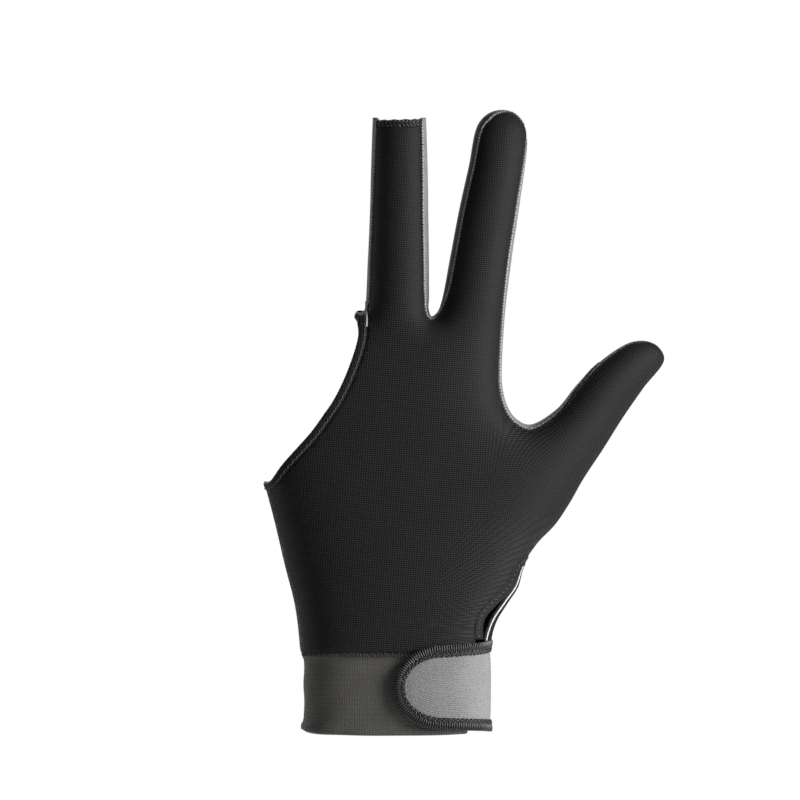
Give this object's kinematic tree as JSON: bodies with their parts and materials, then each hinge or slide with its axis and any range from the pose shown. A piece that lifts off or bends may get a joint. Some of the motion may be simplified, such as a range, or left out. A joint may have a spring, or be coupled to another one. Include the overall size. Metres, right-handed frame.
{
  "type": "billiard glove",
  "caption": "Left-hand billiard glove in black knit with grey finger side strips, open middle fingertip, bare ring and little fingers, wrist slit and a strap closure.",
  "frame": {"origin": "centre of the wrist opening, on the level of the wrist band's lower edge at the sides", "axes": "+Z from the wrist to the fingertips, +X towards the thumb, -Y towards the back of the hand, +Y towards the palm"},
  "size_m": [0.1283, 0.0384, 0.1995],
  "materials": {
    "black_knit": "ribbed stretch knit, soft sheen",
    "grey_mesh": "stretch mesh, matt",
    "black_hem": "turned knit hem, stitched",
    "piping": "pale piping between black folds",
    "band_grey": "brushed stretch cloth, matt",
    "strap_grey": "loop-faced cloth, matt",
    "edge_black": "overlocked thread",
    "hook_black": "hook tape"
  },
  "bodies": {
    "root": {"back_panel": "black_knit", "palm_panel": "black_knit", "fourchette_middle_outer": "grey_mesh", "fourchette_middle_index": "grey_mesh", "fourchette_index_thumb": "grey_mesh", "tip_hem_back": "black_hem", "tip_hem_palm": "black_hem", "opening_hem": "black_hem", "slit_hem": "black_hem", "slit_binding": "piping", "wrist_band": "band_grey", "strap": "strap_grey", "strap_edging": "edge_black", "hook_pad": "hook_black"}
  },
  "joints": []
}
